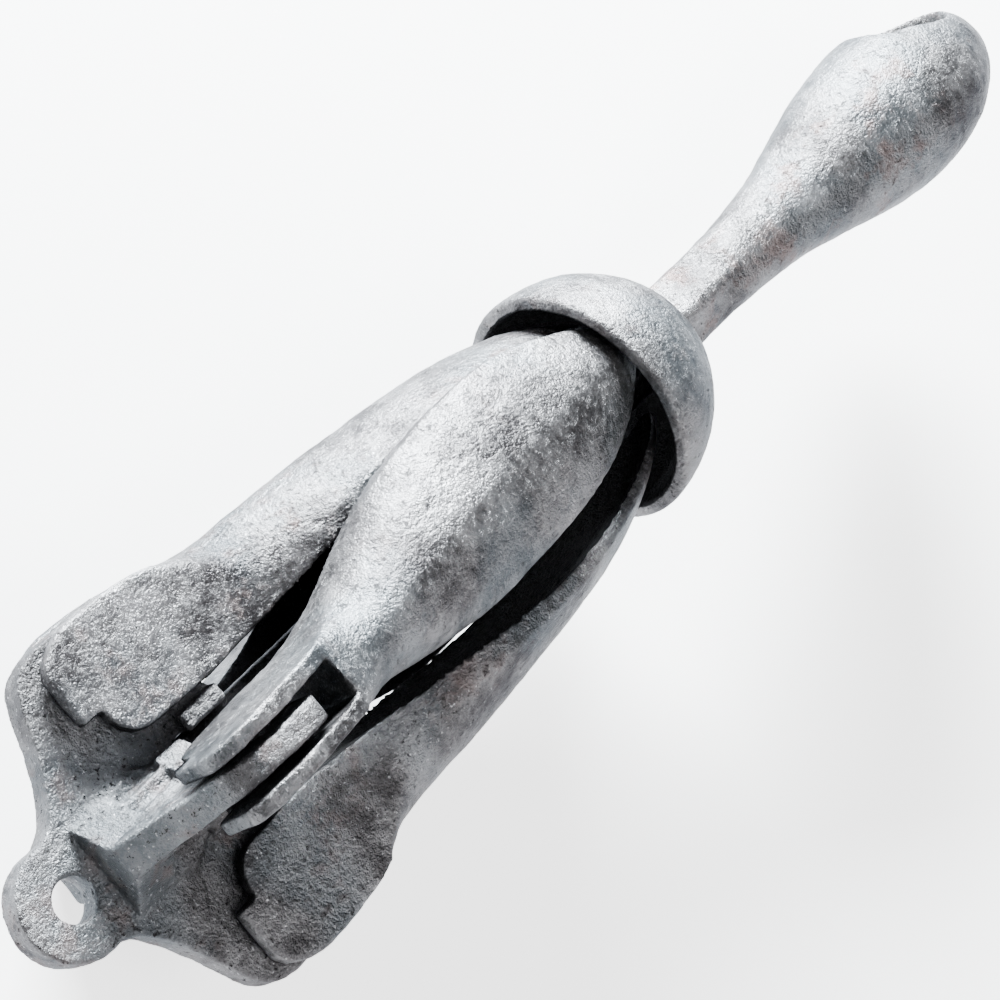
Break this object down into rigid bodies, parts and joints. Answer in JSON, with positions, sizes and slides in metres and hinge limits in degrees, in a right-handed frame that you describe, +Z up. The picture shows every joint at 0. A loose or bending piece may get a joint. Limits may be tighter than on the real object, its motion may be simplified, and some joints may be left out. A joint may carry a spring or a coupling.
{
  "type": "boat anchor",
  "caption": "Folding grapnel boat anchor, folded: forked flukes hinged on a cast crown, a sliding bell collar over their tips, a shank with a rope eye and a trip-line tab.",
  "frame": {"origin": "bottom centre of the folded anchor's bounding box, as it lies on one fork", "axes": "+X along the shank from the crown to the rope eye, +Z up, square to the crown's main plate"},
  "size_m": [0.3104, 0.0732, 0.0732],
  "materials": {
    "galvanised_casting": "hot-dip zinc over a sandy casting",
    "galvanised_fluke": "hot-dip zinc, smooth on the palm and sandy on the fork",
    "galvanised_collar": "hot-dip zinc, satin",
    "galvanised_shank": "hot-dip zinc, mottled",
    "rivet_steel": "hot-dip zinc over the peened ends"
  },
  "bodies": {
    "anchor_frame": {"crown_casting": "galvanised_casting", "shank": "galvanised_shank", "shank_rivet": "rivet_steel", "fluke_pin_top": "rivet_steel", "fluke_pin_right": "rivet_steel", "fluke_pin_bottom": "rivet_steel", "fluke_pin_left": "rivet_steel"},
    "collar": {"locking_collar": "galvanised_collar"},
    "fluke_top_body": {"fluke_top": "galvanised_fluke"},
    "fluke_right_body": {"fluke_right": "galvanised_fluke"},
    "fluke_bottom_body": {"fluke_bottom": "galvanised_fluke"},
    "fluke_left_body": {"fluke_left": "galvanised_fluke"}
  },
  "joints": [
    {"name": "fluke_top_hinge", "type": "hinge", "parent": "anchor_frame", "child": "fluke_top_body", "pos_m": [-0.11245, 0, 0.0569], "axis": [0, -1, 0], "range_deg": [0, 90]},
    {"name": "fluke_right_hinge", "type": "hinge", "parent": "anchor_frame", "child": "fluke_right_body", "pos_m": [-0.11245, -0.0203, 0.0366], "axis": [0, 0, -1], "range_deg": [0, 90]},
    {"name": "fluke_bottom_hinge", "type": "hinge", "parent": "anchor_frame", "child": "fluke_bottom_body", "pos_m": [-0.11245, 0, 0.0163], "axis": [0, 1, 0], "range_deg": [0, 90]},
    {"name": "fluke_left_hinge", "type": "hinge", "parent": "anchor_frame", "child": "fluke_left_body", "pos_m": [-0.11245, 0.0203, 0.0366], "axis": [0, 0, 1], "range_deg": [0, 90]},
    {"name": "collar_slide", "type": "slide", "parent": "anchor_frame", "child": "collar", "axis": [1, 0, 0], "range_m": [-0.0045, 0.038]}
  ]
}
